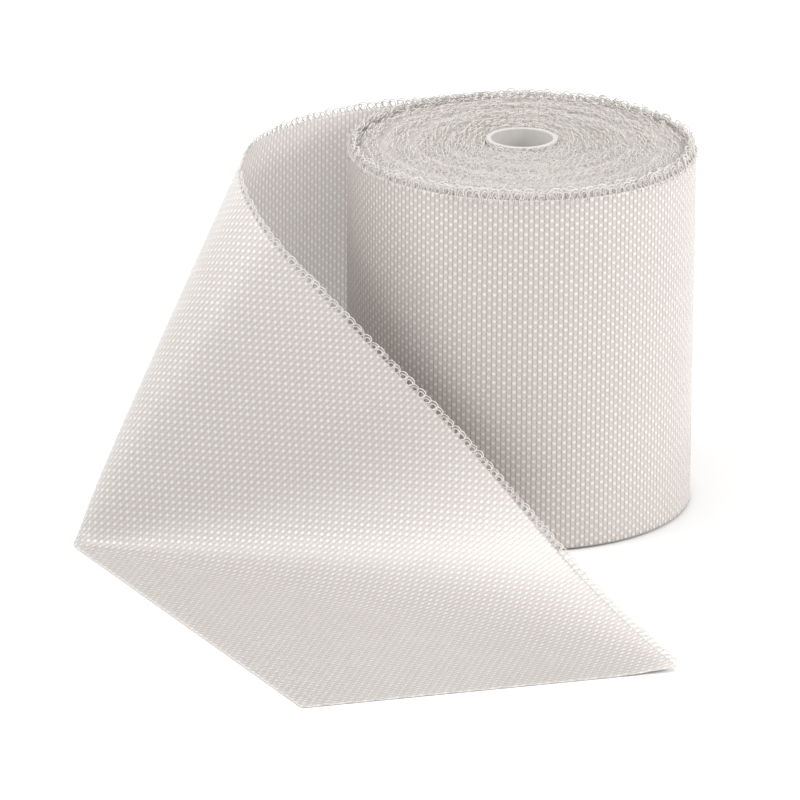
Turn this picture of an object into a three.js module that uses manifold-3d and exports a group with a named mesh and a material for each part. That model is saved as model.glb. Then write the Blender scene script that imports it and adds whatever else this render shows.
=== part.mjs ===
// A roll of woven fibreglass tape standing on its end, with its free end folded over onto the floor.
// Units are millimetres, +Z is up, and the part's origin is under the middle of its box, on the floor.
import * as THREE from "three";
import { mergeVertices } from "three/addons/utils/BufferGeometryUtils.js";
import Module from "manifold-3d";

// Tape, as it is sold
const tapeWidth = 152.4;
const tapeThickness = 0.34;
const tapeLength = 45720;

// Core tube
const coreBore = 25.4;
const coreWall = 2;
const coreLength = 152.4;
const coreClearance = 0.3;

// Wound body: bands of turns stand higher towards the core, each by the same amount at both ends
const bandWidth = 5.6;
const telescopeRise = 2.5;
const telescopeFlatness = 6;
const bandRelief = 0.25;

// Free end: straight off the roll, round a bend that keeps the roll's curl, and on to its folded corner
const leaveAngle = 106;
const leaveLength = 34;
const bendRadius = 78;
const bendAngle = 30.5;
const leadLength = 142;
const tuckLength = 18;
const tuckDepth = 0.4;

// Free end: the leaning leaf, its two rounded folds, and the leaf on the floor
const floorFoldAzimuth = -11.5;
const leafLean = 81.3;
const topFoldRounding = 16.5;
const floorFoldRounding = 24.5;
const cornerRounding = 9;
const floorLength = 209;
const cutSkew = 31;

// Fineness of the curved surfaces
const rollSegments = 48;
const coreSegments = 40;
const tailStepsAlong = 76;
const tailStepsAcross = 10;
const cornerSamples = 24;
const normalProbe = 0.5;
const mergeTolerance = 1e-5;
const fewestBands = 2;

const coreInner = coreBore / 2;
const coreOuter = coreInner + coreWall;
const woundInner = coreOuter + coreClearance;
const woundOuter = Math.sqrt(woundInner ** 2 + (tapeLength * tapeThickness) / Math.PI);
const degrees = THREE.MathUtils.degToRad;
const up = new THREE.Vector3(0, 0, 1);

// A closed profile of [radius, height] points turned about the roll's axis
function turned(profile, segments) {
  const points = [...profile, profile[0]].map(([radius, height]) => new THREE.Vector2(radius, height));
  return new THREE.LatheGeometry(points, segments).rotateX(Math.PI / 2);
}

// How far a band of turns has slipped up the core; the outermost band stands on the floor
function bandShift(band, bands) {
  const outerRadius = woundInner + ((band + 1) * (woundOuter - woundInner)) / bands;
  const slope = telescopeRise * (1 - (outerRadius / woundOuter) ** telescopeFlatness);
  return slope + (band % 2 === bands % 2 ? bandRelief : 0);
}

// The wound tape, with the edges of its turns showing as rings on both ends
function woundBody() {
  const bands = Math.max(fewestBands, Math.round((woundOuter - woundInner) / bandWidth));
  const step = (woundOuter - woundInner) / bands;
  const bottom = [];
  for (let band = 0; band < bands; band += 1) {
    const shift = bandShift(band, bands);
    bottom.push([woundInner + band * step, shift], [woundInner + (band + 1) * step, shift]);
  }
  const top = bottom.map(([radius, height]) => [radius, height + tapeWidth]).reverse();
  return turned([...bottom, ...top], rollSegments);
}

// The core tube, held by the innermost turns
function coreTube() {
  const low = telescopeRise;
  const high = low + coreLength;
  return turned([[coreInner, low], [coreOuter, low], [coreOuter, high], [coreInner, high]], coreSegments);
}

// The free end is a cone of straight lines out of its folded corner. Flattened, each line makes an
// angle with the tape's lower edge; bent, its direction runs along a path of arcs on a unit sphere:
// up the standing leaf, round the top fold, down the leaning leaf, round the floor fold, and along
// the floor. The path's length equals the flat angle, so the tape is bent but never stretched.
function arc(start, axis, radius, angle) {
  return { start, axis, radius, length: angle * radius };
}

// The unit vector at one angle from two planes, given by their normals, on the side nearest a point
function filletCentre(normalA, normalB, side, rounding, nearest) {
  const reach = side * Math.sin(rounding);
  const cosine = normalA.dot(normalB);
  const base = normalA.clone().add(normalB).multiplyScalar(reach / (1 + cosine));
  const across = normalA.clone().cross(normalB).normalize();
  if (across.dot(nearest) < 0) across.negate();
  return base.addScaledVector(across, Math.sqrt(1 - base.lengthSq()));
}

function tangentPoint(centre, normal, side, rounding) {
  return centre.clone().addScaledVector(normal, -side * Math.sin(rounding)).normalize();
}

function angleAbout(axis, from, to) {
  return from.clone().projectOnPlane(axis).angleTo(to.clone().projectOnPlane(axis));
}

function headingAt(angle) {
  return new THREE.Vector3(Math.cos(angle), Math.sin(angle), 0);
}

function foldPath(towardsRoll) {
  const foldLine = headingAt(degrees(floorFoldAzimuth));
  const behind = up.clone().cross(foldLine);
  const standing = towardsRoll.clone().cross(up);
  const leaning = behind.clone().multiplyScalar(Math.sin(degrees(leafLean)));
  leaning.addScaledVector(up, -Math.cos(degrees(leafLean)));
  const floor = up.clone().negate();
  const topRound = degrees(topFoldRounding);
  const floorRound = degrees(floorFoldRounding);
  const topCentre = filletCentre(standing, leaning, 1, topRound, up);
  const floorCentre = filletCentre(leaning, floor, -1, floorRound, foldLine);
  const topStart = tangentPoint(topCentre, standing, 1, topRound);
  const topEnd = tangentPoint(topCentre, leaning, 1, topRound);
  const floorStart = tangentPoint(floorCentre, leaning, -1, floorRound);
  const floorEnd = tangentPoint(floorCentre, floor, -1, floorRound);
  const downTurn = floorCentre.clone().negate();
  return [
    arc(towardsRoll, standing, 1, towardsRoll.angleTo(topStart)),
    arc(topStart, topCentre, Math.sin(topRound), angleAbout(topCentre, topStart, topEnd)),
    arc(topEnd, leaning, 1, topEnd.angleTo(floorStart)),
    arc(floorStart, downTurn, Math.sin(floorRound), angleAbout(floorCentre, floorStart, floorEnd)),
    arc(floorEnd, floor, 1, Math.PI),
  ];
}

function directionAt(path, flatAngle) {
  let rest = flatAngle;
  let index = 0;
  while (index < path.length - 1 && rest > path[index].length) {
    rest -= path[index].length;
    index += 1;
  }
  const { start, axis, radius } = path[index];
  return start.clone().applyAxisAngle(axis, rest / radius);
}

// The tape's middle surface: along runs from the roll through the folded corner at 0 to the cut end,
// across runs from the lower edge up
function freeEndSurface() {
  const leave = degrees(leaveAngle);
  const bend = degrees(bendAngle);
  const turnRadius = woundOuter - tapeThickness / 2 - tuckDepth;
  const leaving = up.clone().cross(headingAt(leave));
  const bendStart = headingAt(leave).multiplyScalar(turnRadius).addScaledVector(leaving, leaveLength);
  const bendCentre = bendStart.clone().addScaledVector(headingAt(leave), -bendRadius);
  const bendEnd = bendCentre.clone().addScaledVector(headingAt(leave + bend), bendRadius);
  const heading = up.clone().cross(headingAt(leave + bend));
  const corner = bendEnd.clone().addScaledVector(heading, leadLength);
  corner.z = tapeThickness / 2;
  const path = foldPath(heading.clone().negate());
  // The lower edge before the lead, by its distance from the bend's end
  const curled = (distance) => {
    const beforeBend = distance - bendRadius * bend;
    const beforeLeaving = beforeBend - leaveLength;
    if (beforeBend <= 0) {
      const angle = leave + bend - distance / bendRadius;
      return bendCentre.clone().addScaledVector(headingAt(angle), bendRadius);
    }
    if (beforeLeaving <= 0) return bendStart.clone().addScaledVector(leaving, -beforeBend);
    return headingAt(leave - beforeLeaving / turnRadius).multiplyScalar(turnRadius);
  };
  const sharp = (along, across) => {
    if (along < -leadLength) {
      return curled(-leadLength - along).setZ(corner.z + across);
    }
    const distance = Math.hypot(along, across);
    return directionAt(path, Math.atan2(across, -along)).multiplyScalar(distance).add(corner);
  };
  return (along, across) => {
    const sum = new THREE.Vector3();
    for (let sample = 0; sample < cornerSamples; sample += 1) {
      const offset = cornerRounding * ((2 * sample + 1) / cornerSamples - 1);
      sum.add(sharp(along + offset, across));
    }
    return sum.divideScalar(cornerSamples);
  };
}

// The free end as a closed sheet
function freeEnd() {
  const surface = freeEndSurface();
  const sheetWidth = tapeWidth - tapeThickness;
  const start = -leadLength - bendRadius * degrees(bendAngle) - leaveLength - tuckLength;
  const columns = tailStepsAcross + 1;
  const side = (tailStepsAlong + 1) * columns;
  const positions = new Float32Array(2 * side * 3);
  for (let step = 0; step <= tailStepsAlong; step += 1) {
    for (let column = 0; column < columns; column += 1) {
      const share = column / tailStepsAcross;
      const across = sheetWidth * share;
      const end = floorLength + cutSkew * share;
      const along = start + ((end - start) * step) / tailStepsAlong;
      const forward = surface(along + normalProbe, across).sub(surface(along - normalProbe, across));
      const sideways = surface(along, across + normalProbe).sub(surface(along, across - normalProbe));
      const normal = forward.cross(sideways).normalize().multiplyScalar(tapeThickness / 2);
      const middle = surface(along, across);
      const index = step * columns + column;
      middle.clone().add(normal).toArray(positions, 3 * index);
      middle.clone().sub(normal).toArray(positions, 3 * (side + index));
    }
  }
  const triangles = [];
  const quad = (a, b, c, d) => triangles.push(a, b, c, a, c, d);
  for (let step = 0; step < tailStepsAlong; step += 1) {
    const here = step * columns;
    const next = here + columns;
    for (let column = 0; column < tailStepsAcross; column += 1) {
      quad(here + column, next + column, next + column + 1, here + column + 1);
      quad(side + here + column, side + here + column + 1, side + next + column + 1, side + next + column);
    }
    quad(here, side + here, side + next, next);
    const hereTop = here + tailStepsAcross;
    const nextTop = next + tailStepsAcross;
    quad(hereTop, nextTop, side + nextTop, side + hereTop);
  }
  const last = tailStepsAlong * columns;
  for (let column = 0; column < tailStepsAcross; column += 1) {
    quad(column, column + 1, side + column + 1, side + column);
    quad(last + column, side + last + column, side + last + column + 1, last + column + 1);
  }
  const geometry = new THREE.BufferGeometry();
  geometry.setAttribute("position", new THREE.BufferAttribute(positions, 3));
  geometry.setIndex(triangles);
  return geometry;
}

const wasm = await Module();
wasm.setup();

function solidOf(geometry) {
  const bare = geometry.clone();
  bare.deleteAttribute("normal");
  bare.deleteAttribute("uv");
  const merged = mergeVertices(bare, mergeTolerance);
  return new wasm.Manifold(new wasm.Mesh({
    numProp: 3,
    vertProperties: new Float32Array(merged.attributes.position.array),
    triVerts: new Uint32Array(merged.index.array),
  }));
}

function geometryOf(solid) {
  const mesh = solid.getMesh();
  const geometry = new THREE.BufferGeometry();
  geometry.setAttribute("position", new THREE.BufferAttribute(mesh.vertProperties, 3));
  geometry.setIndex(new THREE.BufferAttribute(mesh.triVerts, 1));
  return geometry;
}

function named(name, geometry, material) {
  const mesh = new THREE.Mesh(geometry, material);
  mesh.name = name;
  return mesh;
}

const glassCloth = new THREE.MeshStandardMaterial({ color: 0xd9d3cc, roughness: 0.55, metalness: 0 });
const whitePlastic = new THREE.MeshStandardMaterial({ color: 0xeeece6, roughness: 0.5, metalness: 0 });

const tape = geometryOf(solidOf(woundBody()).add(solidOf(freeEnd())));
const roll = new THREE.Group();
roll.add(named("glass_cloth_tape", tape, glassCloth));
roll.add(named("core_tube", coreTube(), whitePlastic));

const box = new THREE.Box3().setFromObject(roll);
roll.position.set(-(box.min.x + box.max.x) / 2, -(box.min.y + box.max.y) / 2, -box.min.z);

export default roll;
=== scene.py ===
"""A roll of woven glass tape on its end, its free end folded over onto the floor, as a Blender add-on."""
import math

import bpy
import numpy as np
from bpy.props import FloatProperty, FloatVectorProperty, IntProperty, PointerProperty
from mathutils import Matrix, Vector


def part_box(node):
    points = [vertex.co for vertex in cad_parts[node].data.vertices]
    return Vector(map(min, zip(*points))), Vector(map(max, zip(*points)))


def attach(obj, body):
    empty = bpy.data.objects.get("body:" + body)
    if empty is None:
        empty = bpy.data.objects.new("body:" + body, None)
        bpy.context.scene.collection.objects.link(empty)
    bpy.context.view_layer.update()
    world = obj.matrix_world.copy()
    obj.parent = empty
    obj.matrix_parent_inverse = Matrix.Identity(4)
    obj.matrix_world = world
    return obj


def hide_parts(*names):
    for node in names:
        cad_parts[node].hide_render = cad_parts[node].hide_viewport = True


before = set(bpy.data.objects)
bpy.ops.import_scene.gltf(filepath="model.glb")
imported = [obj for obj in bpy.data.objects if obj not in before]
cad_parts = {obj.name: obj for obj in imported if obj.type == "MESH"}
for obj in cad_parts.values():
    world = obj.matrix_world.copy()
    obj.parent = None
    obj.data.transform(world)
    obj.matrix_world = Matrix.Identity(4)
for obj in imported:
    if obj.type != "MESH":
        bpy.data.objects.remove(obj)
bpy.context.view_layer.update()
TAPE_LOW, TAPE_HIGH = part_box("glass_cloth_tape")
CORE_LOW, CORE_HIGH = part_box("core_tube")
AXIS_X = (CORE_LOW[0] + CORE_HIGH[0]) / 2
AXIS_Y = (CORE_LOW[1] + CORE_HIGH[1]) / 2
ROLL_RADIUS = TAPE_HIGH[0] - AXIS_X
CORE_RADIUS = (CORE_HIGH[0] - CORE_LOW[0]) / 2
# Points past the first radius lie on the outer turn, and faces inside the second are turn edges
OUTERMOST = 0.995 * ROLL_RADIUS
SIDE_REACH = 0.993 * ROLL_RADIUS
# Each soft light's name, place, aim, size and power, in metres and watts
SOFT_LIGHTS = [
    ("key_softbox", (1.3, -0.35, 0.75), (0.05, 0.05, 0.08), 0.45, 7.5),
    ("fill_softbox", (-1.25, -0.45, 0.9), (0.0, 0.05, 0.08), 0.45, 3.4),
    ("top_softbox", (-0.4, -0.05, 1.25), (-0.01, 0.08, 0.06), 0.4, 5.0),
]

bl_info = {
    "name": "Glass tape roll",
    "version": (1, 0, 0),
    "blender": (4, 5, 0),
    "location": "View3D > Sidebar > Glass tape",
    "description": "Models a roll of woven glass tape with its free end folded over",
    "category": "Object",
}


class TapeSizes(bpy.types.PropertyGroup):
    """The woven tape and its edges"""
    width: FloatProperty(
        name="Tape width", description="From edge to edge", default=0.1524, unit="LENGTH")
    thickness: FloatProperty(
        name="Cloth thickness", description="One layer of cloth", default=0.00034, unit="LENGTH")
    warp_ends: IntProperty(name="Warp ends", description="Yarns across the tape", default=80)
    picks_around: IntProperty(
        name="Picks around", description="Weft yarns round the roll", default=216)
    crimp: FloatProperty(
        name="Crimp", description="How far warp floats stand over weft floats", default=0.00008,
        unit="LENGTH")
    pillow: FloatProperty(
        name="Pillow", description="How far every float stands over the gaps", default=0.00001,
        unit="LENGTH")
    lower_margin: FloatProperty(
        name="Lower margin", description="Edge below the cloth", default=0.0006, unit="LENGTH")
    loop_margin: FloatProperty(
        name="Loop margin", description="Width left to the loops", default=0.0023, unit="LENGTH")
    loop_pitch: FloatProperty(
        name="Loop pitch", description="Between loops", default=0.0034, unit="LENGTH")
    loop_height: FloatProperty(
        name="Loop height", description="From the cloth to the tip", default=0.0028, unit="LENGTH")
    loop_width: FloatProperty(
        name="Loop width", description="Across one loop", default=0.0038, unit="LENGTH")
    loop_foot: FloatProperty(
        name="Loop foot", description="How deep a loop is rooted", default=0.0007, unit="LENGTH")
    strand_step: FloatProperty(
        name="Strand step", description="Between a loop's two strands", default=0.00045, unit="LENGTH")
    thread: FloatProperty(
        name="Thread", description="Radius of the loop yarn", default=0.0002, unit="LENGTH")


class RollSizes(bpy.types.PropertyGroup):
    """The wound body, as in the solids"""
    core_wall: FloatProperty(name="Core wall", description="Of the tube", default=0.002, unit="LENGTH")
    core_gap: FloatProperty(
        name="Core gap", description="Tube to innermost turn", default=0.0003, unit="LENGTH")
    telescope_rise: FloatProperty(
        name="Telescope rise", description="Inner turns over outer turns", default=0.0025, unit="LENGTH")
    telescope_flatness: FloatProperty(
        name="Telescope flatness", description="Power of the rise over the radius", default=6.0)
    ridge_pitch: FloatProperty(
        name="Ridge pitch", description="Between the ridges on the ends", default=0.0013, unit="LENGTH")
    ridge_height: FloatProperty(
        name="Ridge height", description="Of the ridges on the ends", default=0.0004, unit="LENGTH")
    slip: FloatProperty(
        name="Slip", description="How unevenly the turns stand", default=0.00022, unit="LENGTH")
    slack_depth: FloatProperty(
        name="Slack depth", description="How deep a slack turn lies", default=0.0009, unit="LENGTH")
    slack_width: FloatProperty(
        name="Slack width", description="How wide a slack turn shows", default=0.0009, unit="LENGTH")
    sway: FloatProperty(
        name="Sway", description="Waviness round the ends", default=0.00008, unit="LENGTH")
    ring_step: FloatProperty(
        name="Ring step", description="Between rings of upper loops", default=0.0016, unit="LENGTH")
    lower_ring_step: FloatProperty(
        name="Lower ring step", description="Between rings of pressed loops", default=0.0044, unit="LENGTH")
    rim_radius: FloatProperty(
        name="Rim radius", description="Of the tube's rims", default=0.0004, unit="LENGTH")


class FreeEndSizes(bpy.types.PropertyGroup):
    """The folded free end, as in the solids"""
    leave_angle: FloatProperty(
        name="Leave angle", description="Where it leaves the roll", default=math.radians(106),
        subtype="ANGLE")
    leave_length: FloatProperty(
        name="Leave length", description="Straight off the roll", default=0.034, unit="LENGTH")
    bend_radius: FloatProperty(
        name="Bend radius", description="Of the bend before the lead", default=0.078, unit="LENGTH")
    bend_angle: FloatProperty(
        name="Bend angle", description="Of the bend before the lead", default=math.radians(30.5),
        subtype="ANGLE")
    lead_length: FloatProperty(
        name="Lead length", description="Bend to folded corner", default=0.142, unit="LENGTH")
    tuck_length: FloatProperty(
        name="Tuck length", description="Under the outer turn", default=0.018, unit="LENGTH")
    tuck_depth: FloatProperty(
        name="Tuck depth", description="Below the roll's surface", default=0.0004, unit="LENGTH")
    seam_proud: FloatProperty(
        name="Seam proud", description="The outer turn over the tuck", default=0.00008, unit="LENGTH")
    seam_sunk: FloatProperty(
        name="Seam sunk", description="The outer turn under the free end", default=0.0001, unit="LENGTH")
    floor_fold: FloatProperty(
        name="Floor fold", description="Direction of the fold on the floor", default=math.radians(-11.5),
        subtype="ANGLE")
    leaf_lean: FloatProperty(
        name="Leaf lean", description="Rise of the leaning leaf", default=math.radians(81.3), subtype="ANGLE")
    top_rounding: FloatProperty(
        name="Top rounding", description="Of the fold on top", default=math.radians(16.5), subtype="ANGLE")
    floor_rounding: FloatProperty(
        name="Floor rounding", description="Of the fold on the floor", default=math.radians(24.5),
        subtype="ANGLE")
    corner_rounding: FloatProperty(
        name="Corner rounding", description="Of the folded corner", default=0.009, unit="LENGTH")
    floor_length: FloatProperty(
        name="Floor length", description="Corner to cut, lower edge", default=0.209, unit="LENGTH")
    cut_skew: FloatProperty(name="Cut skew", description="Slant of the cut", default=0.031, unit="LENGTH")


class ClothLook(bpy.types.PropertyGroup):
    """Colours of the glass cloth and the tube"""
    # The float colour is a painted highlight: a lighter colour laid on the float crowns where they would
    # catch light
    float_colour: FloatVectorProperty(
        name="Float", description="Top of a float", default=(0.82, 0.795, 0.77), subtype="COLOR")
    yarn_colour: FloatVectorProperty(
        name="Yarn", description="Flank of a yarn", default=(0.54, 0.49, 0.455), subtype="COLOR")
    # The gap colour is painted shade: a dark colour laid in the pockets between yarns
    gap_shade_colour: FloatVectorProperty(
        name="Gap", description="Between yarns", default=(0.25, 0.21, 0.185), subtype="COLOR")
    loop_colour: FloatVectorProperty(
        name="Loop", description="Loop yarn", default=(0.76, 0.735, 0.70), subtype="COLOR")
    tube_colour: FloatVectorProperty(
        name="Tube", description="Core tube", default=(0.63, 0.605, 0.58), subtype="COLOR")
    roughness: FloatProperty(name="Roughness", description="Of the glass yarn", default=0.28)
    gloss: FloatProperty(name="Gloss", description="Specular level of the glass yarn", default=0.8)
    glow: FloatProperty(name="Glow", description="Share of light scattered in the cloth", default=0.9)
    glow_depth: FloatProperty(
        name="Glow depth", description="How far light spreads in it", default=0.002, unit="LENGTH")


class StageLook(bpy.types.PropertyGroup):
    """Floor, light and camera"""
    floor_colour: FloatVectorProperty(
        name="Floor", description="Pale floor", default=(0.95, 0.95, 0.95), subtype="COLOR")
    floor_size: FloatProperty(name="Floor size", description="Side of the floor", default=9, unit="LENGTH")
    floor_drop: FloatProperty(
        name="Floor drop", description="Floor below the tape", default=0.0003, unit="LENGTH")
    air_light: FloatProperty(name="Air light", description="Strength of the white air", default=0.95)
    camera_distance: FloatProperty(
        name="Camera distance", description="To the roll's foot", default=3.328, unit="LENGTH")
    camera_elevation: FloatProperty(
        name="Camera elevation", description="Above the floor", default=math.radians(19.02), subtype="ANGLE")
    camera_roll: FloatProperty(
        name="Camera roll", description="About its own axis", default=math.radians(0.4), subtype="ANGLE")
    frame_width: FloatProperty(
        name="Frame width", description="What the photograph's width spans", default=0.33358, unit="LENGTH")
    foot_right: FloatProperty(
        name="Foot right", description="Roll's foot, right of the frame's middle", default=0.04907,
        unit="LENGTH")
    foot_down: FloatProperty(
        name="Foot down", description="Roll's foot, below the frame's middle", default=0.03861, unit="LENGTH")


class Shader:
    """A material's node tree, with nodes added by type"""

    def __init__(self, name):
        self.material = bpy.data.materials.new(name)
        self.material.use_nodes = True
        self.tree = self.material.node_tree
        self.tree.nodes.clear()

    def node(self, kind, settings=None, **inputs):
        made = self.tree.nodes.new("ShaderNode" + kind)
        for key, value in (settings or {}).items():
            setattr(made, key, value)
        for key, value in inputs.items():
            name = int(key[2:]) if key.startswith("at") else key.replace("_", " ")
            socket = made.inputs[name]
            if isinstance(value, Value):
                self.tree.links.new(value.socket, socket)
            else:
                socket.default_value = value
        return made

    def value(self, made, output=0):
        return Value(self, made.outputs[output])

    def math(self, operation, *terms):
        inputs = {f"at{index}": term for index, term in enumerate(terms)}
        return self.value(self.node("Math", {"operation": operation}, **inputs))

    def colour(self, low, high, share):
        """A colour between two others"""
        settings = {"data_type": "RGBA", "clamp_factor": True}
        return self.value(self.node("Mix", settings, at0=share, at6=low, at7=high), 2)

    def vector(self, x, y, z=0.0):
        return self.value(self.node("CombineXYZ", None, at0=x, at1=y, at2=z))

    def place(self):
        """Where a point is on the object"""
        return self.value(self.node("TexCoord"), 3)

    def noise(self, place, scale, detail, roughness, dimensions="3D"):
        settings = {"noise_dimensions": dimensions}
        return self.value(self.node(
            "TexNoise", settings, Vector=place, Scale=scale, Detail=detail, Roughness=roughness))

    def yarn_tone(self, number):
        """A random tone for each yarn"""
        return self.value(self.node("TexWhiteNoise", {"noise_dimensions": "1D"}, W=number))

    def bump(self, height, strength, distance):
        return self.value(self.node("Bump", None, Strength=strength, Distance=distance, Height=height))

    def finish(self, surface):
        output = self.node("OutputMaterial")
        self.tree.links.new(surface.outputs[0], output.inputs[0])
        return self.material


class Value:
    """A socket that takes part in sums"""

    def __init__(self, shader, socket):
        self.shader = shader
        self.socket = socket

    def __add__(self, other):
        return self.shader.math("ADD", self, other)

    def __radd__(self, other):
        return self.shader.math("ADD", other, self)

    def __sub__(self, other):
        return self.shader.math("SUBTRACT", self, other)

    def __rsub__(self, other):
        return self.shader.math("SUBTRACT", other, self)

    def __mul__(self, other):
        return self.shader.math("MULTIPLY", self, other)

    def __rmul__(self, other):
        return self.shader.math("MULTIPLY", other, self)

    def __pow__(self, other):
        return self.shader.math("POWER", self, other)

    def __abs__(self):
        return self.shader.math("ABSOLUTE", self)

    def sine(self):
        return self.shader.math("SINE", self)

    def floor(self):
        return self.shader.math("FLOOR", self)

    def limited(self):
        made = self.shader.node("Clamp", None, at0=self)
        return self.shader.value(made)

    def towards(self, other, share):
        return self + (other - self) * share


def rgba(colour):
    return (*colour, 1.0)


def weave_coordinates(shader):
    """Crossings along and across the tape, from the piece's own UV map"""
    uv = shader.value(shader.node("UVMap", {"uv_map": "UVMap"}))
    split = shader.node("SeparateXYZ", None, at0=uv)
    return shader.value(split, 0), shader.value(split, 1)


def glass_cloth_finish():
    """Plain weave: warp and weft floats in turn, each a bundle of fine glass filaments, with a painted
    highlight on the float crowns and painted shade in the gaps between yarns
    """
    look = bpy.context.scene.cloth_look
    shader = Shader("woven_glass_cloth")
    along, across = weave_coordinates(shader)
    sine_along = (along * math.pi).sine()
    sine_across = (across * math.pi).sine()
    hump_along = abs(sine_along)
    hump_across = abs(sine_across)
    edge_steepness = 6
    warp = (sine_along * sine_across * edge_steepness + 0.5).limited()
    warp_rise, warp_base = 0.7, 0.3
    warp_height = (hump_across ** 1.3) * (hump_along ** 0.35) * warp_rise + warp_base
    weft_rise, weft_base = 0.2, 0.25
    weft_height = (hump_along ** 1.2) * (hump_across ** 0.5) * weft_rise + weft_base
    height = weft_height.towards(warp_height, warp)
    # Painted shade: the pockets between yarns and the float ends are darkened towards the gap colour
    float_end_shade, gap_shade = 0.5, 0.2
    painted_gap_shade = ((1 - hump_along) ** 2) * (hump_across * float_end_shade + gap_shade)
    fine, coarse = 26.0, 1.3
    streak_along = (along * fine).towards(along * coarse, warp)
    streak_across = (across * coarse).towards(across * fine, warp)
    streaks = shader.vector(streak_along, streak_across)
    filaments = shader.noise(streaks, scale=1.0, detail=2.0, roughness=0.6, dimensions="2D")
    between_yarns = 0.37
    weft_tone = shader.yarn_tone(along.floor())
    warp_tone = shader.yarn_tone(across.floor() + between_yarns)
    patches = shader.noise(shader.place(), scale=26.0, detail=3.0, roughness=0.55)
    yarn_share, patch_share, filament_share = 0.16, 0.3, 0.35
    tone = weft_tone.towards(warp_tone, warp) * yarn_share + patches * patch_share
    tone = tone + filaments * filament_share
    # Painted highlight: float crowns are mixed towards the lighter float colour, varied by the random yarn
    # tone
    crown_base, crown_steepness, plain_tone = 0.22, 1.3, 0.45
    crown = ((height - crown_base) * crown_steepness).limited()
    painted_highlight_with_tone = (crown * (tone + plain_tone)).limited()
    base = shader.colour(rgba(look.yarn_colour), rgba(look.float_colour), painted_highlight_with_tone)
    # Lays the painted shade of the gaps over the base colour
    base = shader.colour(base, rgba(look.gap_shade_colour), painted_gap_shade)
    filament_spread, crown_polish = 0.2, 0.08
    roughness = look.roughness + (filaments - 0.5) * filament_spread - crown * crown_polish
    height_relief, filament_relief = 0.8, 0.18
    relief = height * height_relief + filaments * filament_relief
    bump = shader.bump(relief, strength=0.75, distance=0.00022)
    surface = shader.node("BsdfPrincipled", None, Base_Color=base, Roughness=roughness, Normal=bump)
    surface.inputs["Specular IOR Level"].default_value = look.gloss
    surface.inputs["Subsurface Weight"].default_value = look.glow
    surface.inputs["Subsurface Radius"].default_value = (1.0, 1.0, 1.0)
    surface.inputs["Subsurface Scale"].default_value = look.glow_depth
    return shader.finish(surface)


def turn_edge_finish():
    """The edges of the wound turns: fuzz of yarn ends and the shadows between turns"""
    look = bpy.context.scene.cloth_look
    shader = Shader("wound_turn_edges")
    place = shader.place()
    fuzz = shader.noise(place, scale=900.0, detail=3.0, roughness=0.65)
    patches = shader.noise(place, scale=60.0, detail=2.0, roughness=0.5)
    fuzz_middle, fuzz_contrast, patch_contrast = 0.35, 2.2, 0.5
    share = ((fuzz - fuzz_middle) * fuzz_contrast + (patches - 0.5) * patch_contrast).limited()
    light_spread, darkest = 0.6, 0.32
    # Noise mixes the painted gap shade colour and the painted float highlight colour
    base = shader.colour(rgba(look.gap_shade_colour), rgba(look.float_colour), share * light_spread + darkest)
    bump = shader.bump(fuzz, strength=0.8, distance=0.0004)
    roughness = fuzz * 0.2 + 0.5
    surface = shader.node("BsdfPrincipled", None, Base_Color=base, Roughness=roughness, Normal=bump)
    return shader.finish(surface)


def loop_yarn_finish():
    """The fine twisted yarn of the edge loops"""
    look = bpy.context.scene.cloth_look
    shader = Shader("edge_loop_yarn")
    twist = shader.noise(shader.place(), scale=2200.0, detail=2.0, roughness=0.6)
    twist_contrast, lightening = 1.3, 0.15
    share = (twist * twist_contrast + lightening).limited()
    base = shader.colour(rgba(look.yarn_colour), rgba(look.loop_colour), share)
    surface = shader.node("BsdfPrincipled", None, Base_Color=base, Roughness=0.5 - twist * 0.2)
    return shader.finish(surface)


def tube_plastic_finish():
    """Matt extruded plastic, slightly mottled, with faint drawing lines along it"""
    look = bpy.context.scene.cloth_look
    shader = Shader("white_tube_plastic")
    place = shader.place()
    mottle = shader.noise(place, scale=180.0, detail=3.0, roughness=0.5)
    stretched = shader.value(shader.node("Mapping", None, Vector=place, Scale=(700.0, 700.0, 12.0)))
    lines = shader.noise(stretched, scale=1.0, detail=1.0, roughness=0.5)
    darker = 0.82
    shade = tuple(darker * part for part in look.tube_colour)
    mottle_share, line_share = 0.7, 0.3
    base = shader.colour(rgba(shade), rgba(look.tube_colour), mottle * mottle_share + lines * line_share)
    bump = shader.bump(lines, strength=0.25, distance=0.0001)
    roughness = mottle * 0.2 + 0.35
    surface = shader.node("BsdfPrincipled", None, Base_Color=base, Roughness=roughness, Normal=bump)
    return shader.finish(surface)


def floor_paint_finish():
    """Matt paint of the pale floor"""
    shader = Shader("studio_floor_paint")
    colour = rgba(bpy.context.scene.stage_look.floor_colour)
    surface = shader.node("BsdfPrincipled", None, Base_Color=colour, Roughness=0.9)
    return shader.finish(surface)


def finish_named(name, make):
    """A finish is made once and shared"""
    return bpy.data.materials.get(name) or make()


def points_of(mesh):
    points = np.empty(len(mesh.vertices) * 3)
    mesh.vertices.foreach_get("co", points)
    return points.reshape(-1, 3)


def move_points(mesh, points):
    mesh.vertices.foreach_set("co", np.ascontiguousarray(points, dtype=np.float64).ravel())
    mesh.update()


def set_weave_map(mesh, along, across):
    """Writes each corner's place in the weave, in crossings"""
    corners = np.empty(len(mesh.loops), dtype=np.int32)
    mesh.loops.foreach_get("vertex_index", corners)
    layer = mesh.uv_layers.get("UVMap") or mesh.uv_layers.new(name="UVMap")
    layer.data.foreach_set("uv", np.stack([along[corners], across[corners]], -1).ravel())


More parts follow.
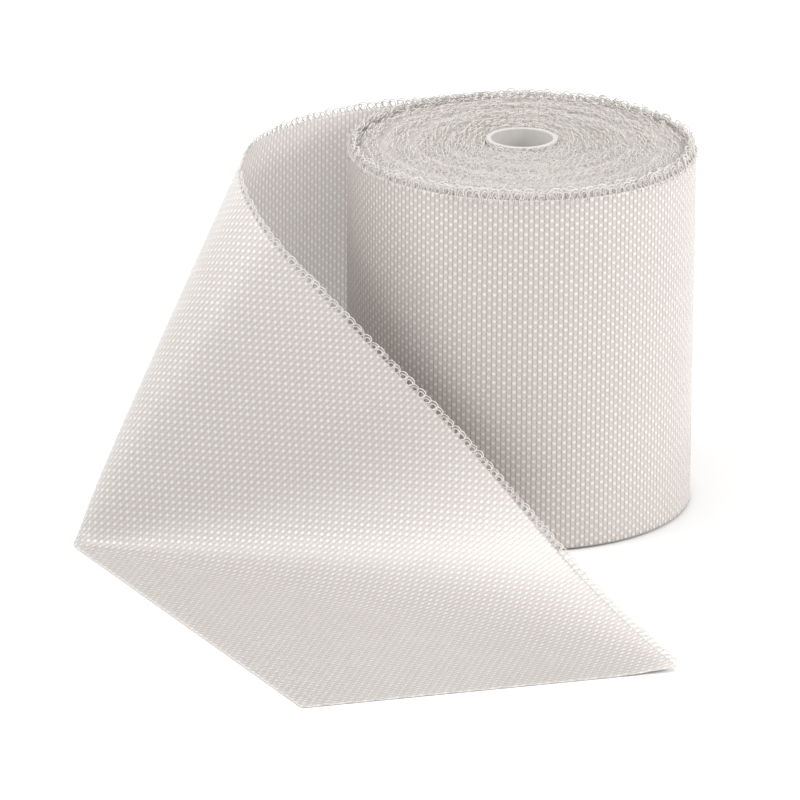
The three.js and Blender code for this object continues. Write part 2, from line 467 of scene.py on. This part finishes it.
def flat_grid(name, columns, rows):
    """A flat grid with one face for each crossing, from 0 to columns and 0 to rows"""
    bpy.ops.object.select_all(action="DESELECT")
    bpy.ops.mesh.primitive_grid_add(x_subdivisions=columns, y_subdivisions=rows, size=1)
    piece = bpy.context.object
    piece.name = name
    piece.data.name = name
    bpy.ops.object.mode_set(mode="EDIT")
    bpy.ops.mesh.select_all(action="SELECT")
    bpy.ops.transform.resize(value=(columns, rows, 1))
    bpy.ops.transform.translate(value=(columns / 2, rows / 2, 0))
    bpy.ops.object.mode_set(mode="OBJECT")
    return piece


def poke_rows(piece, first, last):
    """Gives each crossing in these rows a point in its middle"""
    mesh = piece.data
    centres = np.empty(len(mesh.polygons) * 3)
    mesh.polygons.foreach_get("center", centres)
    height = centres.reshape(-1, 3)[:, 1]
    bpy.ops.object.mode_set(mode="EDIT")
    bpy.ops.mesh.select_mode(type="FACE")
    bpy.ops.mesh.select_all(action="DESELECT")
    bpy.ops.object.mode_set(mode="OBJECT")
    mesh.polygons.foreach_set("select", (height > first) & (height < last))
    bpy.ops.object.mode_set(mode="EDIT")
    bpy.ops.mesh.poke()
    bpy.ops.mesh.select_all(action="DESELECT")
    bpy.ops.object.mode_set(mode="OBJECT")


def close_piece(piece, merge=0.000005):
    """Merges touching points and turns every face outwards"""
    bpy.ops.object.select_all(action="DESELECT")
    piece.select_set(True)
    bpy.context.view_layer.objects.active = piece
    bpy.ops.object.mode_set(mode="EDIT")
    bpy.ops.mesh.select_all(action="SELECT")
    if merge:
        bpy.ops.mesh.remove_doubles(threshold=merge)
    bpy.ops.mesh.normals_make_consistent(inside=False)
    bpy.ops.object.mode_set(mode="OBJECT")
    bpy.ops.object.shade_smooth()


def hand_in(piece, node):
    """Every piece rides on the one body and stands for the node"""
    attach(piece, "root")
    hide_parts(node)


def weave_relief(sizes, along, across):
    """Height of the cloth's face at a place in the weave"""
    wave = np.sin(np.pi * along) * np.sin(np.pi * across)
    return sizes.crimp * wave + sizes.pillow * (2 * wave ** 2 - 1)


def telescope(radius):
    """How far the turns at a radius stand above the outermost turn"""
    roll = bpy.context.scene.roll_sizes
    share = np.clip(np.asarray(radius) / ROLL_RADIUS, 0, 1)
    return roll.telescope_rise * (1 - share ** roll.telescope_flatness)


def near_slack_turn(radius):
    """1 at the few slack turns that show as darker rings on the ends, 0 away from them"""
    slack_turns = np.array([0.935, 0.81, 0.63, 0.45]) * ROLL_RADIUS
    full_share = 1.6
    distance = np.abs(np.asarray(radius)[..., None] - slack_turns).min(axis=-1)
    return np.clip(full_share - distance / bpy.context.scene.roll_sizes.slack_width, 0, 1)


def turned_about(vectors, axis, angle):
    """Vectors turned about a unit axis, each by its own angle"""
    angle = np.asarray(angle)[..., None]
    crossed = np.cross(axis, vectors)
    along_axis = np.asarray(vectors) @ axis
    return vectors * np.cos(angle) + crossed * np.sin(angle) + axis * along_axis * (1 - np.cos(angle))


def unit(vector):
    return vector / np.linalg.norm(vector)


def heading_at(angle):
    """Level unit vectors at angles about the up axis"""
    return np.stack([np.cos(angle), np.sin(angle), np.zeros_like(angle, dtype=float)], -1)


class FoldedTape:
    """The free end's middle surface: lines out of the folded corner, along a path of arcs"""

    def __init__(self):
        self.sizes = bpy.context.scene.free_end_sizes
        self.tape = bpy.context.scene.tape_sizes
        sizes = self.sizes
        self.turn_radius = ROLL_RADIUS - self.tape.thickness / 2 - sizes.tuck_depth
        self.bend_length = sizes.bend_radius * sizes.bend_angle
        self.wound_length = sizes.lead_length + self.bend_length + sizes.leave_length
        first = sizes.leave_angle
        last = first + sizes.bend_angle
        self.axis = np.array([AXIS_X, AXIS_Y, 0.0])
        self.leaving = heading_at(first + math.pi / 2)
        self.bend_start = self.axis + heading_at(first) * self.turn_radius + self.leaving * sizes.leave_length
        self.bend_centre = self.bend_start - heading_at(first) * sizes.bend_radius
        heading = heading_at(last + math.pi / 2)
        self.corner = self.bend_centre + heading_at(last) * sizes.bend_radius + heading * sizes.lead_length
        self.corner[2] = self.tape.thickness / 2
        self.arcs = self.fold_path(-heading)

    def fold_path(self, towards_roll):
        """Up the standing leaf, over the top fold, down the leaning leaf, and round the floor fold"""
        sizes = self.sizes
        up = np.array([0.0, 0.0, 1.0])
        fold_line = heading_at(sizes.floor_fold)
        behind = np.cross(up, fold_line)
        standing = np.cross(towards_roll, up)
        leaning = behind * math.sin(sizes.leaf_lean) - up * math.cos(sizes.leaf_lean)
        top = self.fillet(standing, leaning, 1, sizes.top_rounding, up)
        floor = self.fillet(leaning, -up, -1, sizes.floor_rounding, fold_line)
        arcs = [
            (towards_roll, standing, 1.0, towards_roll, top[1]),
            (top[1], top[0], math.sin(sizes.top_rounding), top[1], top[2]),
            (top[2], leaning, 1.0, top[2], floor[1]),
            (floor[1], -floor[0], math.sin(sizes.floor_rounding), floor[1], floor[2]),
            (floor[2], -up, 1.0, floor[2], -floor[2]),
        ]
        return [
            (start, axis, radius, radius * self.angle_about(axis, first, last))
            for start, axis, radius, first, last in arcs]

    @staticmethod
    def fillet(first, second, side, rounding, nearest):
        """A small circle that touches two planes through the corner, and where it touches them"""
        reach = side * math.sin(rounding)
        base = (first + second) * reach / (1 + first @ second)
        across = unit(np.cross(first, second))
        across = across if across @ nearest > 0 else -across
        centre = base + across * math.sqrt(1 - base @ base)
        return centre, unit(centre - first * reach), unit(centre - second * reach)

    @staticmethod
    def angle_about(axis, start, end):
        flat_start = unit(start - axis * (start @ axis))
        flat_end = unit(end - axis * (end @ axis))
        return math.acos(max(-1.0, min(1.0, flat_start @ flat_end)))

    def directions(self, flat_angle):
        """Which way the flat tape's lines out of the corner point once it is folded"""
        beyond_all = 4.0
        result = np.zeros((*flat_angle.shape, 3))
        begin = 0.0
        for index, (start, axis, radius, length) in enumerate(self.arcs):
            end = begin + length if index < len(self.arcs) - 1 else beyond_all
            here = (flat_angle >= begin) & (flat_angle < end)
            result[here] = turned_about(start[None], axis, (flat_angle[here] - begin) / radius)
            begin = end
        return result

    def sharp(self, along, across):
        """The middle surface with a sharp corner"""
        cone = self.directions(np.arctan2(across, -along)) * np.hypot(along, across)[..., None] + self.corner
        curled = self.curled(-self.sizes.lead_length - along)
        curled[..., 2] = self.corner[2] + across
        return np.where((along < -self.sizes.lead_length)[..., None], curled, cone)

    def curled(self, distance):
        """The lower edge before the lead, by its distance from the bend's end"""
        sizes = self.sizes
        before_bend = distance - self.bend_length
        before_leaving = before_bend - sizes.leave_length
        bend_turn = sizes.leave_angle + sizes.bend_angle - distance / sizes.bend_radius
        bend = self.bend_centre + heading_at(bend_turn) * sizes.bend_radius
        straight = self.bend_start - self.leaving * before_bend[..., None]
        roll_turn = sizes.leave_angle - before_leaving / self.turn_radius
        wound = self.axis + heading_at(roll_turn) * self.turn_radius
        late = np.where((before_leaving > 0)[..., None], wound, straight)
        return np.where((before_bend > 0)[..., None], late, bend)

    def points(self, along, across):
        """Rounded at the corner by a running mean along the tape"""
        samples = 24
        total = np.zeros((*along.shape, 3))
        for sample in range(samples):
            offset = self.sizes.corner_rounding * ((2 * sample + 1) / samples - 1)
            total += self.sharp(along + offset, across)
        return total / samples

    def normals(self, along, across):
        """Unit normals, on the side that faced outwards on the roll"""
        probe = 0.0005
        forward = self.points(along + probe, across) - self.points(along - probe, across)
        sideways = self.points(along, across + probe) - self.points(along, across - probe)
        normal = np.cross(forward, sideways)
        return normal / np.linalg.norm(normal, axis=-1, keepdims=True)


class TAPE_OT_wound_roll(bpy.types.Operator):
    """Models the wound body: woven outer turn, and both ends with the edges of the turns"""
    bl_idname = "glass_tape.wound_roll"
    bl_label = "Wound roll"

    def execute(self, context):
        tape = context.scene.tape_sizes
        rows = self.profile(context)
        side = rows["side"]
        columns = tape.picks_around
        piece = flat_grid("wound_tape", columns, len(rows["radius"]) - 1)
        poke_rows(piece, side, side + tape.warp_ends)
        mesh = piece.data
        flat = points_of(mesh)
        along, row = flat[:, 0], flat[:, 1]
        radius = np.interp(row, np.arange(len(rows["radius"])), rows["radius"])
        height = np.interp(row, np.arange(len(rows["radius"])), rows["height"])
        across = row - side
        set_weave_map(mesh, along, across)
        turn = 2 * np.pi * along / columns
        on_side = (across > 0) & (across < tape.warp_ends)
        radius = radius + np.where(on_side, weave_relief(tape, along, across), 0)
        radius = radius - self.spiral(context, turn) * (radius > OUTERMOST)
        sway = np.sin(turn * 2 + radius * 900) + np.sin(turn * 3 - radius * 1400)
        on_end = (across < 0) | (across > tape.warp_ends)
        height = height + np.where(on_end, sway * context.scene.roll_sizes.sway, 0)
        placed = np.stack([AXIS_X + radius * np.cos(turn), AXIS_Y + radius * np.sin(turn), height], -1)
        move_points(mesh, placed)
        mesh.materials.append(finish_named("woven_glass_cloth", glass_cloth_finish))
        mesh.materials.append(finish_named("wound_turn_edges", turn_edge_finish))
        centres = np.empty(len(mesh.polygons) * 3)
        mesh.polygons.foreach_get("center", centres)
        centres = centres.reshape(-1, 3)
        reach = np.hypot(centres[:, 0] - AXIS_X, centres[:, 1] - AXIS_Y)
        mesh.polygons.foreach_set("material_index", (reach < SIDE_REACH).astype(np.int32))
        close_piece(piece)
        hand_in(piece, "glass_cloth_tape")
        return {"FINISHED"}

    @staticmethod
    def spiral(context, turn):
        """How far the outer turn's face lies inside the full radius"""
        tape = context.scene.tape_sizes
        free_end = context.scene.free_end_sizes
        behind = np.mod(turn - free_end.leave_angle, 2 * np.pi) / (2 * np.pi)
        over = free_end.tuck_depth - free_end.seam_proud
        under = free_end.tuck_depth + free_end.seam_sunk
        after_leaving = 0.0002
        stops = [0, 0.03, 0.85, 0.955, 0.975, 1]
        slack = np.interp(behind, stops, [after_leaving, 0, 0, over, under, under])
        return tape.thickness * (1 - behind) + slack

    @staticmethod
    def profile(context):
        """Radius and height of each row: up the lower end, the side, and back over the upper end"""
        tape = context.scene.tape_sizes
        roll = context.scene.roll_sizes
        dice = np.random.default_rng(7)
        inner = CORE_RADIUS + roll.core_gap
        count = 2 * int((ROLL_RADIUS - inner) / roll.ridge_pitch)
        radii = np.linspace(inner, ROLL_RADIUS, count + 1)
        ridge = np.where(np.arange(count + 1) % 2 == 0, -0.5, 0.5) * roll.ridge_height
        slip = dice.normal(0, roll.slip, count + 1)
        slip[-2:] = 0
        edge = telescope(radii) + ridge + slip - near_slack_turn(radii) * roll.slack_depth
        edge[-1] = 0
        deepest = -0.0002
        lower = tape.lower_margin + np.maximum(edge, deepest)
        upper = tape.width - tape.loop_margin + edge
        side = np.linspace(lower[-1], upper[-1], tape.warp_ends + 1)[1:-1]
        return {
            "side": count,
            "radius": np.concatenate([radii, np.full(len(side), ROLL_RADIUS), radii[::-1], radii[:1]]),
            "height": np.concatenate([lower, side, upper[::-1], lower[:1]]),
        }


def loop_model(name, segments, resolution, strands):
    """One loop of edge yarn, standing up from the cloth's edge: x along, y through, z outwards"""
    tape = bpy.context.scene.tape_sizes
    half = tape.loop_width / 2
    rise_share, inner_strand, foot_share, depth_share = 0.47, 0.3, 0.5, 0.4
    rise = tape.loop_height * rise_share
    centre = tape.loop_height - rise
    sweep = np.radians(np.linspace(-48, 228, segments))
    curve = bpy.data.curves.new(name, "CURVE")
    curve.dimensions = "3D"
    curve.bevel_depth = tape.thread
    curve.bevel_resolution = resolution
    curve.use_fill_caps = True
    for strand in range(strands):
        share = 1 - inner_strand * strand
        across, height = half * share, rise * share
        shift = tape.strand_step * strand
        path = [(across * foot_share + shift, 0.0, -tape.loop_foot)]
        for angle in sweep:
            up = centre * share + height * math.sin(angle)
            path.append((across * math.cos(angle) + shift, shift * depth_share, up))
        path.append((shift - across * foot_share, 0.0, -tape.loop_foot))
        spline = curve.splines.new("POLY")
        spline.points.add(len(path) - 1)
        for point, place in zip(spline.points, path):
            point.co = (*place, 1.0)
    model = bpy.data.objects.new(name, curve)
    bpy.context.scene.collection.objects.link(model)
    bpy.ops.object.select_all(action="DESELECT")
    model.select_set(True)
    bpy.context.view_layer.objects.active = model
    bpy.ops.object.convert(target="MESH")
    bpy.ops.object.mode_set(mode="EDIT")
    bpy.ops.mesh.select_all(action="SELECT")
    bpy.ops.mesh.remove_doubles(threshold=0.000002)
    bpy.ops.mesh.normals_make_consistent(inside=False)
    bpy.ops.object.mode_set(mode="OBJECT")
    points = points_of(model.data)
    faces = [tuple(polygon.vertices) for polygon in model.data.polygons]
    bpy.data.objects.remove(model, do_unlink=True)
    return points, faces


def joined_copies(name, batches):
    """One mesh from many placed copies of models; a batch is the copies' points and the model's faces"""
    all_points = []
    all_faces = []
    offset = 0
    for copies, faces in batches:
        count, size = copies.shape[:2]
        all_points.append(copies.reshape(-1, 3))
        for copy in range(count):
            start = offset + copy * size
            all_faces.extend(tuple(start + corner for corner in face) for face in faces)
        offset += count * size
    mesh = bpy.data.meshes.new(name)
    mesh.from_pydata(np.concatenate(all_points).tolist(), [], all_faces)
    mesh.polygons.foreach_set("use_smooth", np.ones(len(mesh.polygons), dtype=bool))
    piece = bpy.data.objects.new(name, mesh)
    bpy.context.scene.collection.objects.link(piece)
    mesh.materials.append(finish_named("edge_loop_yarn", loop_yarn_finish))
    return piece


def ring_of_loops(points, radius, level, sign, dice, lean_range):
    """Loops round one turn of the roll, each leaning and twisted a little differently"""
    tape = bpy.context.scene.tape_sizes
    fewest, uneven, twist_spread, smallest, largest = 6, 0.08, 16, 0.72, 1.08
    count = max(fewest, int(2 * np.pi * radius / tape.loop_pitch))
    turn = 2 * np.pi * (np.arange(count) + dice.uniform(0, 1) + dice.normal(0, uneven, count)) / count
    lean = np.radians(dice.uniform(*lean_range, count))[:, None]
    twist = np.radians(dice.normal(0, twist_spread, count))[:, None]
    size = dice.uniform(smallest, largest, count)[:, None]
    x, y, z = (points[None, :, axis] * size for axis in range(3))
    inwards = z * np.sin(lean) + y * np.cos(lean) + x * np.sin(twist)
    upwards = z * np.cos(lean) - y * np.sin(lean)
    along = x * np.cos(twist)
    angle = turn[:, None] + along / radius
    reach = radius - inwards
    height = level + sign * upwards
    return np.stack([AXIS_X + reach * np.cos(angle), AXIS_Y + reach * np.sin(angle), height], -1)


class TAPE_OT_end_loops(bpy.types.Operator):
    """Models the loops of the tape's upper edge over the roll's upper end, and the pressed ones below"""
    bl_idname = "glass_tape.end_loops"
    bl_label = "End loops"

    def execute(self, context):
        tape = context.scene.tape_sizes
        roll = context.scene.roll_sizes
        dice = np.random.default_rng(11)
        inner = CORE_RADIUS + roll.core_gap + tape.thread
        fine_points, fine_faces = loop_model("fine_loop", 9, 0, 2)
        plain_points, plain_faces = loop_model("plain_loop", 5, 0, 1)
        top = tape.width - tape.loop_margin
        outer = []
        outer_rings, first_ring, ring_gap = 3, 0.9, 2.2
        for ring in range(outer_rings):
            radius = ROLL_RADIUS - tape.thickness * (first_ring + ring_gap * ring)
            tall = fine_points * (1.05, 1.0, 1.55)
            outer.append(ring_of_loops(tall, radius, top + telescope(radius), 1, dice, (4, 46)))
        inside = []
        innermost, outermost = inner + 0.0006, ROLL_RADIUS - 0.0014
        for radius in np.arange(innermost, outermost, roll.ring_step):
            if near_slack_turn(radius) < 0.5:
                inside.append(ring_of_loops(plain_points, radius, top + telescope(radius), 1, dice, (5, 66)))
        piece = joined_copies("outer_turn_loops", [(np.concatenate(outer), fine_faces)])
        hand_in(piece, "glass_cloth_tape")
        piece = joined_copies("inner_turn_loops", [(np.concatenate(inside), plain_faces)])
        hand_in(piece, "glass_cloth_tape")
        pressed = []
        innermost, outermost, rooted = inner + 0.001, ROLL_RADIUS - 0.0002, 0.0002
        squat = plain_points * (0.8, 1.0, 0.35)
        for radius in np.arange(innermost, outermost, roll.lower_ring_step):
            level = tape.lower_margin + telescope(radius) + rooted
            pressed.append(ring_of_loops(squat, radius, level, -1, dice, (20, 60)))
        below = joined_copies("lower_end_loops", [(np.concatenate(pressed), plain_faces)])
        keep = points_of(below.data)
        keep[:, 2] = np.maximum(keep[:, 2], 0)
        move_points(below.data, keep)
        hand_in(below, "glass_cloth_tape")
        return {"FINISHED"}


class TAPE_OT_free_end(bpy.types.Operator):
    """Weaves the free end flat, cuts it, and folds it off the roll and onto the floor"""
    bl_idname = "glass_tape.free_end"
    bl_label = "Free end"

    def execute(self, context):
        tape = context.scene.tape_sizes
        free_end = context.scene.free_end_sizes
        cloth_width = tape.width - tape.lower_margin - tape.loop_margin
        folded = FoldedTape()
        pitch = 2 * math.pi * folded.turn_radius / tape.picks_around
        leaving_pick = free_end.leave_angle * tape.picks_around / (2 * math.pi)
        first_pick = 2 * math.floor((leaving_pick - free_end.tuck_length / pitch) / 2)
        start = -folded.wound_length - (leaving_pick - first_pick) * pitch
        longest = free_end.floor_length + free_end.cut_skew - start
        picks = math.ceil(longest / pitch)
        piece = flat_grid("free_end_cloth", picks, tape.warp_ends)
        cut_low = (free_end.floor_length - start) / pitch
        cut_slant = free_end.cut_skew / pitch / tape.warp_ends
        bpy.ops.object.mode_set(mode="EDIT")
        bpy.ops.mesh.select_all(action="SELECT")
        bpy.ops.mesh.bisect(plane_co=(cut_low, 0, 0), plane_no=(1, -cut_slant, 0), clear_outer=True)
        bpy.ops.object.mode_set(mode="OBJECT")
        poke_rows(piece, 0, tape.warp_ends)
        solid = piece.modifiers.new("Thickness", "SOLIDIFY")
        solid.thickness = 1.0
        solid.offset = 0.0
        bpy.ops.object.modifier_apply(modifier="Thickness")
        mesh = piece.data
        flat = points_of(mesh)
        along, across = flat[:, 0], flat[:, 1]
        face = np.sign(flat[:, 2])
        set_weave_map(mesh, along, across)
        real_along = start + along * pitch
        real_across = tape.lower_margin + across * cloth_width / tape.warp_ends
        middle = folded.points(real_along, real_across)
        normal = folded.normals(real_along, real_across)
        flip = np.where(face > 0, 0.0, 1.0)
        relief = weave_relief(tape, along + flip, across)
        stand = (face * (tape.thickness / 2 + relief))[:, None]
        placed = middle + normal * stand
        placed[:, 2] = np.maximum(placed[:, 2], 0)
        move_points(mesh, placed)
        mesh.materials.append(finish_named("woven_glass_cloth", glass_cloth_finish))
        close_piece(piece, merge=0)
        hand_in(piece, "glass_cloth_tape")
        area = cloth_width * (longest - free_end.cut_skew / 2)
        return {"FINISHED"}


class TAPE_OT_edge_loops(bpy.types.Operator):
    """Models the loops along the free end's upper edge"""
    bl_idname = "glass_tape.edge_loops"
    bl_label = "Edge loops"

    def execute(self, context):
        tape = context.scene.tape_sizes
        free_end = context.scene.free_end_sizes
        dice = np.random.default_rng(23)
        folded = FoldedTape()
        points, faces = loop_model("free_end_loop", 13, 1, 2)
        last = free_end.floor_length + free_end.cut_skew - tape.loop_width
        places = np.arange(-folded.wound_length + tape.loop_pitch, last, tape.loop_pitch)
        uneven, smallest, largest = 0.00018, 0.86, 1.1
        usual_slant, slant_spread, lift_spread = 0.16, 0.12, 0.1
        places = places + dice.normal(0, uneven, len(places))
        size = dice.uniform(smallest, largest, len(places))[:, None]
        slant = dice.normal(usual_slant, slant_spread, len(places))[:, None]
        lift = dice.normal(0, lift_spread, len(places))[:, None]
        z = points[None, :, 2] * size
        along = places[:, None] + points[None, :, 0] * size + z * slant
        across = tape.width - tape.loop_margin + z
        through = points[None, :, 1] + z * lift
        placed = folded.points(along, across) + folded.normals(along, across) * through[..., None]
        placed[..., 2] = np.maximum(placed[..., 2], 0)
        piece = joined_copies("free_end_loops", [(placed, faces)])
        hand_in(piece, "glass_cloth_tape")
        return {"FINISHED"}


class TAPE_OT_core_tube(bpy.types.Operator):
    """Models the core tube with its softened rims"""
    bl_idname = "glass_tape.core_tube"
    bl_label = "Core tube"

    def execute(self, context):
        roll = context.scene.roll_sizes
        low, high = CORE_LOW[2], CORE_HIGH[2]
        bpy.ops.object.select_all(action="DESELECT")
        bpy.ops.mesh.primitive_cylinder_add(
            vertices=96, radius=CORE_RADIUS, depth=high - low, end_fill_type="NOTHING",
            location=(AXIS_X, AXIS_Y, (low + high) / 2))
        piece = context.object
        piece.name = "core_tube_shell"
        piece.data.name = piece.name
        bpy.ops.object.transform_apply(location=True, rotation=True, scale=True)
        wall = piece.modifiers.new("Wall", "SOLIDIFY")
        wall.thickness = roll.core_wall
        wall.offset = -1
        bpy.ops.object.modifier_apply(modifier="Wall")
        rim = piece.modifiers.new("Rims", "BEVEL")
        rim.width = roll.rim_radius
        rim.segments = 3
        rim.limit_method = "ANGLE"
        rim.angle_limit = math.radians(40)
        bpy.ops.object.modifier_apply(modifier="Rims")
        bpy.ops.object.shade_smooth_by_angle(angle=math.radians(50))
        piece.data.materials.append(finish_named("white_tube_plastic", tube_plastic_finish))
        hand_in(piece, "core_tube")
        return {"FINISHED"}


class TAPE_OT_stage(bpy.types.Operator):
    """Lays the pale floor, hangs the soft lights and sets the camera at the photograph's angle"""
    bl_idname = "glass_tape.stage"
    bl_label = "Stage"

    def execute(self, context):
        stage = context.scene.stage_look
        bpy.ops.object.select_all(action="DESELECT")
        bpy.ops.mesh.primitive_plane_add(size=stage.floor_size, location=(0, 0, -stage.floor_drop))
        floor = context.object
        floor.name = "studio_floor"
        floor.data.materials.append(floor_paint_finish())
        for light in SOFT_LIGHTS:
            self.soft_light(*light)
        world = bpy.data.worlds.new("studio_air")
        world.use_nodes = True
        air = world.node_tree.nodes["Background"]
        air.inputs["Color"].default_value = (1.0, 1.0, 1.0, 1.0)
        air.inputs["Strength"].default_value = stage.air_light
        context.scene.world = world
        context.scene.view_settings.view_transform = "Standard"
        self.camera(context, stage)
        return {"FINISHED"}

    @staticmethod
    def soft_light(name, place, target, size, power):
        light = bpy.data.lights.new(name, "AREA")
        light.shape = "SQUARE"
        light.size = size
        light.energy = power
        lamp = bpy.data.objects.new(name, light)
        lamp.location = place
        aim = np.array(target) - np.array(place)
        level = math.hypot(aim[0], aim[1])
        lamp.rotation_euler = (math.atan2(level, -aim[2]), 0, math.atan2(-aim[0], aim[1]))
        bpy.context.scene.collection.objects.link(lamp)

    @staticmethod
    def camera(context, stage):
        lens = bpy.data.cameras.new("photo_camera")
        lens.sensor_width = 36.0
        lens.lens = lens.sensor_width * stage.camera_distance / stage.frame_width
        lens.clip_end = 50
        rig = bpy.data.objects.new("photo_camera", lens)
        turn = Matrix.Rotation(math.pi / 2 - stage.camera_elevation, 4, "X")
        turn = turn @ Matrix.Rotation(stage.camera_roll, 4, "Z")
        back = Matrix.Translation((-stage.foot_right, stage.foot_down, stage.camera_distance))
        rig.matrix_world = Matrix.Translation((AXIS_X, AXIS_Y, 0)) @ turn @ back
        context.scene.collection.objects.link(rig)
        context.scene.camera = rig


class TAPE_PT_panel(bpy.types.Panel):
    """The tape roll's pieces and sizes"""
    bl_idname = "TAPE_PT_panel"
    bl_label = "Glass tape"
    bl_space_type = "VIEW_3D"
    bl_region_type = "UI"
    bl_category = "Glass tape"

    def draw(self, context):
        for operator in PIECES:
            self.layout.operator(operator.bl_idname)
        for group in GROUPS:
            self.layout.label(text=group.__doc__)
            for key in group.__annotations__:
                self.layout.prop(getattr(context.scene, GROUPS[group]), key)


PIECES = [
    TAPE_OT_stage, TAPE_OT_wound_roll, TAPE_OT_end_loops, TAPE_OT_free_end, TAPE_OT_edge_loops,
    TAPE_OT_core_tube,
]
GROUPS = {
    TapeSizes: "tape_sizes",
    RollSizes: "roll_sizes",
    FreeEndSizes: "free_end_sizes",
    ClothLook: "cloth_look",
    StageLook: "stage_look",
}


def register():
    for group, name in GROUPS.items():
        bpy.utils.register_class(group)
        setattr(bpy.types.Scene, name, PointerProperty(type=group))
    for operator in PIECES:
        bpy.utils.register_class(operator)
    bpy.utils.register_class(TAPE_PT_panel)


def unregister():
    bpy.utils.unregister_class(TAPE_PT_panel)
    for operator in reversed(PIECES):
        bpy.utils.unregister_class(operator)
    for group, name in GROUPS.items():
        delattr(bpy.types.Scene, name)
        bpy.utils.unregister_class(group)


def main():
    register()
    for operator in PIECES:
        family, action = operator.bl_idname.split(".")
        getattr(getattr(bpy.ops, family), action)()


if __name__ == "__main__":
    main()
